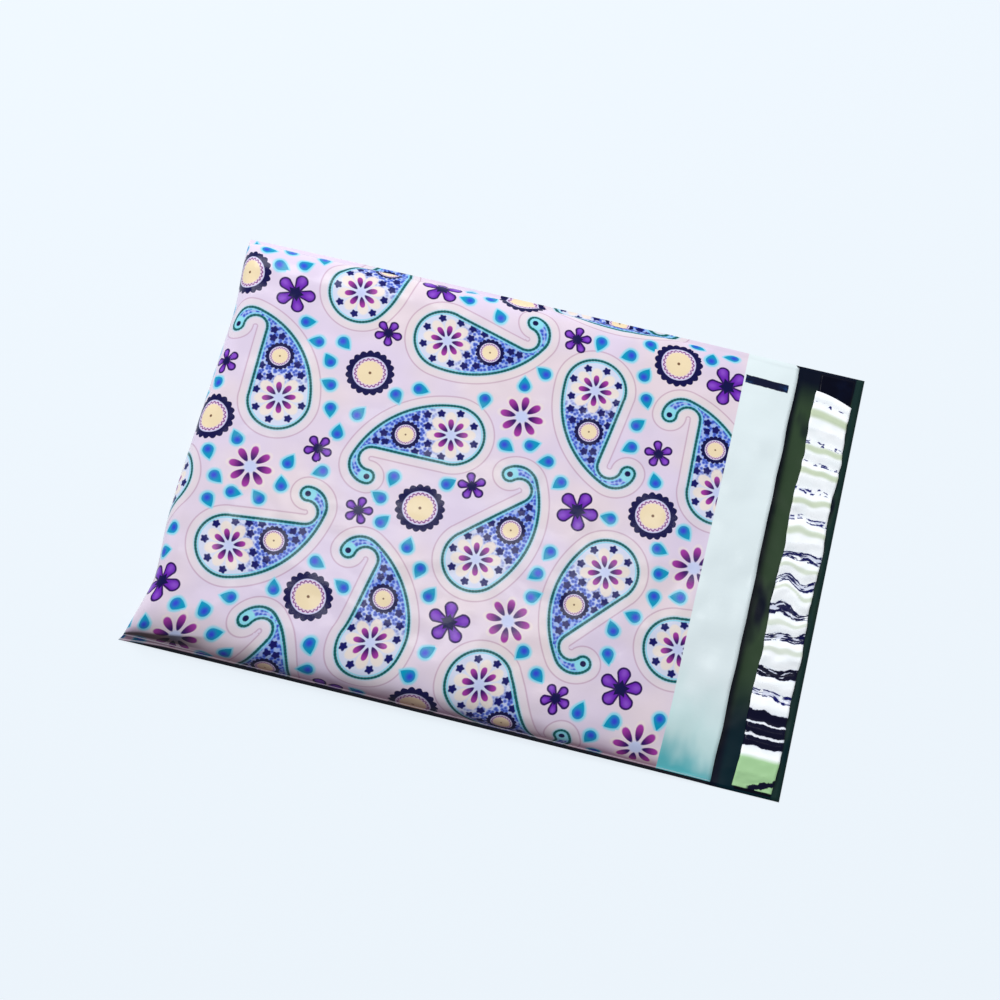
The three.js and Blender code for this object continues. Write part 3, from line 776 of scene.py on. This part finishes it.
def makeFilm():
    columns = round(filmLength / pouch["cell"])  # of one panel
    flapColumns = round(flapLength / pouch["cell"])
    rows = round(2 * halfFilm / pouch["cell"])
    total = 2 * columns + 1 + flapColumns
    bm = bmesh.new()
    bmesh.ops.create_grid(bm, x_segments=total, y_segments=rows, size=0.5)

    flat = {}
    for v in bm.verts:
        column = round((v.co.x + 0.5) * total)
        across = halfFilm * (1 - 2 * round((v.co.y + 0.5) * rows) / rows)
        front = column <= columns
        if front:
            along = filmLength * (1 - column / columns)
        else:
            along = filmLength * (column - columns - 1) / columns
        if column <= 2 * columns + 1:
            place = onPouch(along, across, front)
        else:
            past = flapLength * (column - 2 * columns - 1) / flapColumns
            along = filmLength + past
            place = onPouch(filmLength, across, False)
            place.x = lipX + past
        flat[v] = (along, across, column)
        v.co = place / perMetre

    layers = {name: bm.loops.layers.uv.new(name) for name in ("film", "figure", "rim", "ring", "star")}
    figures = allFigures()
    stars = starPlaces()
    count = dict.fromkeys(kinds, 0)
    for face in bm.faces:
        corners = [flat[loop.vert] for loop in face.loops]
        midAlong = sum(c[0] for c in corners) / 4
        midAcross = sum(c[1] for c in corners) / 4
        for loop, corner in zip(face.loops, corners):
            loop[layers["film"]].uv = corner[:2]
        if max(c[2] for c in corners) > columns:
            face.material_index = len(kinds)
            continue
        out, leafPlace, rim = nearestLeaf(midAlong, midAcross)
        kind, place = ("ground", None)
        if midAlong < printLength + pouch["cell"]:
            kind, place = figureAt(midAlong, midAcross, figures, out, leafPlace)
        face.material_index = kinds.index(kind)
        count[kind] += 1
        if out > figure["halo"] + 2 * pouch["cell"]:
            for loop in face.loops:
                loop[layers["rim"]].uv = (straightRadius, 0)
                loop[layers["ring"]].uv = (1, 0)
        else:
            radius, before = rim[2:]
            mid = toFigure(midAlong, midAcross, leafPlace) - rim[1]
            if radius < straightRadius:
                before += abs(radius) * (math.atan2(mid.y, mid.x) % (2 * math.pi))
            for loop, flatCorner in zip(face.loops, corners):
                away = toFigure(flatCorner[0], flatCorner[1], leafPlace) - rim[1]
                loop[layers["rim"]].uv = away
                run = before + abs(radius) * math.atan2(mid.cross(away), mid.dot(away))
                loop[layers["ring"]].uv = (radius, run)
        if place is None:
            continue
        star = min(stars, key=lambda s: (s - toFigure(midAlong, midAcross, place)).length)
        for loop, flatCorner in zip(face.loops, corners):
            local = toFigure(flatCorner[0], flatCorner[1], place)
            loop[layers["figure"]].uv = local
            loop[layers["star"]].uv = local - star
    print("film faces by figure:", count)

    rim = [v for v in bm.verts if halfFilm - abs(flat[v][1]) < 0.01 and flat[v][2] <= 2 * columns + 1]
    held = {tuple(round(x, 7) for x in v.co) for v in rim}
    bmesh.ops.remove_doubles(bm, verts=rim, dist=1e-6)
    weights = bm.verts.layers.deform.verify()
    for v in bm.verts:
        onRim = tuple(round(x, 7) for x in v.co) in held and v.co.x < (lipX - 1) / perMetre
        v[weights][0] = 0.0 if onRim else 1.0
    for face in bm.faces:
        face.smooth = True
    mesh = bpy.data.meshes.new("mailerFilm")
    bm.to_mesh(mesh)
    bm.free()
    mesh.set_sharp_from_angle(angle=math.radians(55))
    film = bpy.data.objects.new("mailerFilm", mesh)
    bpy.context.scene.collection.objects.link(film)
    film.vertex_groups.new(name="filmDepth")
    for kind, draw in zip(kinds, draws):
        mesh.materials.append(printMaterial(kind + "Print", draw))
    mesh.materials.append(backMaterial())
    mesh.materials.append(innerMaterial())
    wall = film.modifiers.new("filmDepth", "SOLIDIFY")
    wall.thickness = pouch["film"] / perMetre
    wall.offset = -1
    wall.vertex_group = "filmDepth"
    wall.material_offset = len(kinds) + 1
    wall.material_offset_rim = len(kinds)
    return film


film = makeFilm()
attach(film, "root")
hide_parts("film_bag")
print("film made")


glue = {
    "thickness": 0.12,
    "cell": 1.6,
    "waver": 0.35,  # how far its edges wander
    "waverLength": 9,
    "bump": 0.03,
    "rimHeight": 0.02,
    "skin": 0.015,
    "dark": tint(2, 3, 22),
    "sheenStreak": tint(6, 16, 44),
}
glueTop = pouch["film"] + glue["thickness"]


def glueMaterial():
    material, tree, paint = newMaterial("tackyGlue")
    place = paint.node("TexCoord", output=3)
    sheenNoise = paint.node("TexNoise", inputs={"Vector": place, "Scale": 90.0, "Detail": 3.0})
    # painted sheen: lighter blue streaks over the black glue
    colour = blend(between(sheenNoise, 0.45, 0.75) * 0.5, glue["dark"], glue["sheenStreak"])
    rough = sheenNoise * 0.12 + 0.08
    finishOf(paint, tree, colour, rough, crinkle(paint, 0.0005, 9, 1.5), innerGloss)
    return material


def makeGlue():
    bm = bmesh.new()
    across = round((glueHigh.x - glueLow.x) / glue["cell"])
    along = round((glueHigh.y - glueLow.y) / glue["cell"])
    bmesh.ops.create_grid(bm, x_segments=across, y_segments=along, size=0.5)
    for v in bm.verts:
        x = glueLow.x + (v.co.x + 0.5) * (glueHigh.x - glueLow.x)
        y = glueLow.y + (v.co.y + 0.5) * (glueHigh.y - glueLow.y)
        rim = max(abs(v.co.x), abs(v.co.y)) > 0.499
        drawn = 0.5 - abs(v.co.x)
        x += glue["waver"] * wave(y / glue["waverLength"], 0.0, math.copysign(4.5, v.co.x)) * (1 - 2 * drawn)
        top = glueTop + glue["bump"] * wave(x / 4, y / 7, 1.7)
        v.co = Vector((x, y, pouch["film"] + glue["rimHeight"] if rim else top)) / perMetre
    for face in bm.faces:
        face.smooth = True
    mesh = bpy.data.meshes.new("glueCoat")
    bm.to_mesh(mesh)
    bm.free()
    coat = bpy.data.objects.new("glueCoat", mesh)
    bpy.context.scene.collection.objects.link(coat)
    mesh.materials.append(glueMaterial())
    wall = coat.modifiers.new("glueDepth", "SOLIDIFY")
    wall.thickness = glue["skin"] / perMetre
    wall.offset = -1
    return coat


coat = makeGlue()
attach(coat, "root")
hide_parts("adhesive_strip")
print("glue made")


liner = {
    "width": 21.5,
    "farGap": 13,
    "nearGap": 3,
    "slant": 6,
    "slantFade": 6,
    "wave": 0.5,
    "waveLength": 57,
    "rippleShare": 0.09,
    "highest": 1.6,
    "thickness": 0.1,
    "rowStep": 0.55,
    "columns": 16,
    # where it touches the glue, as shares of its length from the far end
    "contacts": [
        0, 0.03, 0.135, 0.19, 0.26, 0.335, 0.43, 0.495, 0.57, 0.63, 0.72, 0.775, 0.84, 0.875, 0.9, 1,
    ],
    # what shows there: a share, half the height of the wet patch, and how filled it is
    "wet": [
        (0.03, 0.2, 0.0), (0.135, 0.5, 0.05), (0.19, 0.6, 0.1), (0.26, 0.9, 0.15), (0.335, 1.3, 0.3),
        (0.43, 2.0, 0.45), (0.495, 1.9, 0.45), (0.57, 1.9, 0.5), (0.63, 2.2, 0.5), (0.72, 2.4, 0.6),
        (0.777, 1.9, 0.4), (0.83, 2.4, 1), (0.858, 2.4, 1), (0.888, 2.4, 1),
    ],
    # and the green bands between the ripples, painted shade on their shaded sides with the glue's green seen
    # through: a share, half its height, and how strong it is
    "shadeGreens": [
        (0.06, 3.4, 1), (0.15, 2.3, 0.95), (0.215, 2.3, 0.95), (0.2875, 2.2, 0.9), (0.37, 2.3, 0.8),
        (0.46, 1.5, 0.7), (0.52, 1.4, 0.7), (0.596, 1.4, 0.6), (0.667, 1.8, 0.6),
    ],
    "greenEnd": 0.93,  # from there to the near end it is green throughout
    "deepGreen": (205.0, 215.0),  # how far along it the deeper green starts and is full
    "creaseShadowAt": 236.5,  # how far along it the painted shadow in the crease near its end lies
    "creaseShadowLean": 0.35,
    "creaseShadowWidth": 1.7,
    "lift": 0.16,  # over the glue, where it touches
    "fray": 0.45,  # how far its long edges wander
    "crumpleFrom": 0.955,
    "crumple": 1.1,
    "clear": tint(250, 252, 255),
    "greyerBlotches": tint(236, 243, 246),
    "green": tint(190, 202, 174),
    "greenDeep": tint(158, 202, 144),
    "fringe": tint(104, 116, 190),
    "wetLine": tint(12, 16, 104),
    "wetPatch": tint(4, 4, 34),
}


def linerMaterial():
    material, tree, paint = newMaterial("releaseFilm")
    x, run = flatPlace(paint, "liner")
    offLine, half = flatPlace(paint, "touch")
    filled, green = flatPlace(paint, "tone")
    wobble = offLine + (speckle(x, run, 6, 9) - 0.5) * 2.4 + (speckle(x, run, 1.6, 2.2) - 0.5) * 0.8
    broken = between(speckle(x, run, 4, 3) + filled * 0.35, 0.52, 0.6)
    thick = speckle(x, run, 3, 3) * 0.85
    lines = within(abs(abs(wobble) - half), thick, 0.18) * broken
    solid = within(abs(wobble), half, 0.25) * between(speckle(x, run, 6, 1.6, 3.0) + filled, 0.92, 1.0)
    wet = lines.maths("MAXIMUM", solid)
    fringe = within(abs(wobble), half + 0.7, 0.6) * broken * 0.35
    # greyer blotches at random over the strip's white
    base = blend(between(speckle(x, run, 14, 7), 0.4, 0.75) * 0.5, liner["clear"], liner["greyerBlotches"])
    greenInk = blend(between(run, *liner["deepGreen"]), liner["green"], liner["greenDeep"])
    # the green from the tone map: bands of painted shade on the ripples' shaded sides with the glue seen
    # through, and the near end green throughout
    drawn = blend(green, base, greenInk)
    drawn = blend(fringe, drawn, liner["fringe"])
    # painted shadow: a dark line in the crease across the crumpled near end, drawn with the wet ink
    offCreaseShadow = abs(run + x * liner["creaseShadowLean"] - liner["creaseShadowAt"] + (speckle(x, run, 3, 3) - 0.5) * 4)
    wet = wet.maths("MAXIMUM", within(offCreaseShadow, liner["creaseShadowWidth"], 0.3) * between(x, -4.0, -2.0))
    wetInk = blend(between(filled, 0.3, 0.6), liner["wetLine"], liner["wetPatch"])
    drawn = blend(wet, drawn, wetInk)
    # painted light: the strip's colour also drives its emission, so it glows a little and its shaded ripples
    # are lifted towards white
    tree.links.new(drawn.socket, tree.nodes["Principled BSDF"].inputs["Emission Color"])
    rough = speckle(x, run, 10, 10) * 0.1 + 0.2
    glossAndPaintedGlow = {"IOR": 1.45, "Specular IOR Level": 0.1, "Emission Strength": 0.16}
    finishOf(paint, tree, drawn, rough, crinkle(paint, 0.0002, 6, 1.2), glossAndPaintedGlow)
    return material


def ripple(share, length):  # the height over the glue
    contacts = liner["contacts"]
    i = max(k for k in range(len(contacts) - 1) if contacts[k] <= share)
    start, end = contacts[i], contacts[i + 1]
    rise = math.sin(math.pi * (share - start) / (end - start)) ** 2
    return min(liner["highest"], liner["rippleShare"] * (end - start) * length * rise)


def greenAt(share, length):
    if share > liner["greenEnd"] - 0.01:
        return 0.95 * clamp((share - liner["greenEnd"] + 0.01) / 0.012)
    return max(
        strong * math.exp(-(((share - at) * length / wide) ** 4)) for at, wide, strong in liner["shadeGreens"]
    )


def makeLiner():
    middle = (glueLow.x + glueHigh.x) / 2
    far, near = halfWidth - liner["farGap"], -halfWidth + liner["nearGap"]
    length = far - near
    rows = round(length / liner["rowStep"])
    bm = bmesh.new()
    bmesh.ops.create_grid(bm, x_segments=liner["columns"], y_segments=rows, size=0.5)
    uvLiner = bm.loops.layers.uv.new("liner")
    uvTouch = bm.loops.layers.uv.new("touch")
    uvTone = bm.loops.layers.uv.new("tone")
    flat = {}
    for v in bm.verts:
        share = 0.5 - v.co.y
        beside = v.co.x * liner["width"]
        wander = share + 0.012 * wave(beside / 9, share * 12, 6.1) * min(share, 1 - share) * 4
        height = ripple(clamp(wander, 0, 0.9999), length)
        y = far + share * (near - far)
        slant = liner["slant"] * clamp(v.co.x + 0.5) ** 1.6 * (1 - share) ** liner["slantFade"]
        x = middle + beside + liner["wave"] * math.sin(2 * math.pi * y / liner["waveLength"])
        x += liner["fray"] * wave(share * 46, 0.0, 9.4 + round(v.co.x)) * abs(2 * v.co.x) ** 3
        crumpled = clamp((share - liner["crumpleFrom"]) / (1 - liner["crumpleFrom"]))
        height *= 1 + 0.25 * wave(beside / 6, y / 5, 2)
        height += liner["crumple"] * crumpled * abs(wave(beside / 5, share * 70, 3.9))
        flat[v] = (beside, wander)
        v.co = Vector((x, y - slant, glueTop + liner["lift"] + max(0, height))) / perMetre
    for face in bm.faces:
        face.smooth = True
        middleShare = sum(flat[loop.vert][1] for loop in face.loops) / 4
        at, half, filled = min(liner["wet"], key=lambda contact: abs(contact[0] - middleShare))
        for loop in face.loops:
            beside, share = flat[loop.vert]
            loop[uvLiner].uv = (beside, share * length)
            loop[uvTouch].uv = ((share - at) * length, half)
            loop[uvTone].uv = (filled, greenAt(share, length))
    mesh = bpy.data.meshes.new("releaseStrip")
    bm.to_mesh(mesh)
    bm.free()
    strip = bpy.data.objects.new("releaseStrip", mesh)
    bpy.context.scene.collection.objects.link(strip)
    mesh.materials.append(linerMaterial())
    wall = strip.modifiers.new("stripDepth", "SOLIDIFY")
    wall.thickness = liner["thickness"] / perMetre
    wall.offset = -1
    return strip


strip = makeLiner()
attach(strip, "root")
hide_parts("release_liner")
print("release strip made")


studio = {
    "azimuth": 11.77,
    "elevation": 68.86,
    "roll": 2.39,
    "distance": 1163.4,
    "target": (-1.8, 3.9, 0),
    "lens": 74.55,
    "background": tint(240, 248, 255),
    "floorSize": 40,
    "floorGlow": 0.85,
    "world": 0.35,
    # azimuth, elevation, distance, the two sides of the lamp in metres, and its power
    "lamps": {"strip": (-171.3, 73.5, 1.47, 0.6, 0.12, 4), "key": (-150, 39, 2.2, 1.0, 1.0, 31)},
}


def direction(azimuth, elevation):
    a, e = math.radians(azimuth), math.radians(elevation)
    return Vector((math.sin(a) * math.cos(e), -math.cos(a) * math.cos(e), math.sin(e)))


def makeCamera():
    data = bpy.data.cameras.new("camera")
    data.lens = studio["lens"]
    data.sensor_width = 36
    camera = bpy.data.objects.new("camera", data)
    bpy.context.scene.collection.objects.link(camera)
    back = direction(studio["azimuth"], studio["elevation"])
    target = Vector(studio["target"])
    roll = Matrix.Rotation(math.radians(studio["roll"]), 4, "Z")
    turned = (-back).to_track_quat("-Z", "Y").to_matrix().to_4x4() @ roll
    turned.translation = (target + back * studio["distance"]) / perMetre
    camera.matrix_world = turned
    bpy.context.scene.camera = camera


def makeLamp(name, azimuth, elevation, distance, sizeX, sizeY, power):
    data = bpy.data.lights.new(name, "AREA")
    data.shape = "RECTANGLE"
    data.size, data.size_y = sizeX, sizeY
    data.energy = power
    lamp = bpy.data.objects.new(name, data)
    bpy.context.scene.collection.objects.link(lamp)
    toward = direction(azimuth, elevation)
    lamp.location = toward * distance
    lamp.rotation_mode = "QUATERNION"
    lamp.rotation_quaternion = toward.to_track_quat("Z", "Y")


def directlySeen(paint):  # 1 for the rays that see the background, and 0 for those it lights
    rays = paint.node("LightPath")
    return rays + rays.other("Is Glossy Ray") + rays.other("Is Transmission Ray")


def makeStudio():
    bm = bmesh.new()
    bmesh.ops.create_grid(bm, x_segments=4, y_segments=4, size=studio["floorSize"] / 2)
    bmesh.ops.translate(bm, verts=bm.verts, vec=(0, 0, -0.0001))
    mesh = bpy.data.meshes.new("floor")
    bm.to_mesh(mesh)
    bm.free()
    floor = bpy.data.objects.new("floor", mesh)
    bpy.context.scene.collection.objects.link(floor)
    material, tree, paint = newMaterial("paleFloor")
    plain = paint.node("BsdfDiffuse", inputs={"Color": studio["background"]})
    lit = paint.node("Emission", inputs={"Color": studio["background"], "Strength": 1.0})
    seen = directlySeen(paint) * studio["floorGlow"]
    mixed = paint.node("MixShader", inputs={0: seen, 1: plain, 2: lit})
    tree.links.new(mixed.socket, tree.nodes["Material Output"].inputs["Surface"])
    mesh.materials.append(material)

    world = bpy.context.scene.world or bpy.data.worlds.new("world")
    bpy.context.scene.world = world
    world.use_nodes = True
    sky = world.node_tree.nodes["Background"]
    sky.inputs["Color"].default_value = studio["background"]
    strength = directlySeen(Wire(world.node_tree)) * (1 - studio["world"]) + studio["world"]
    world.node_tree.links.new(strength.socket, sky.inputs["Strength"])
    for name, lamp in studio["lamps"].items():
        makeLamp(name, *lamp)


makeCamera()
makeStudio()
bpy.context.scene.view_settings.view_transform = "Standard"
print("studio made")
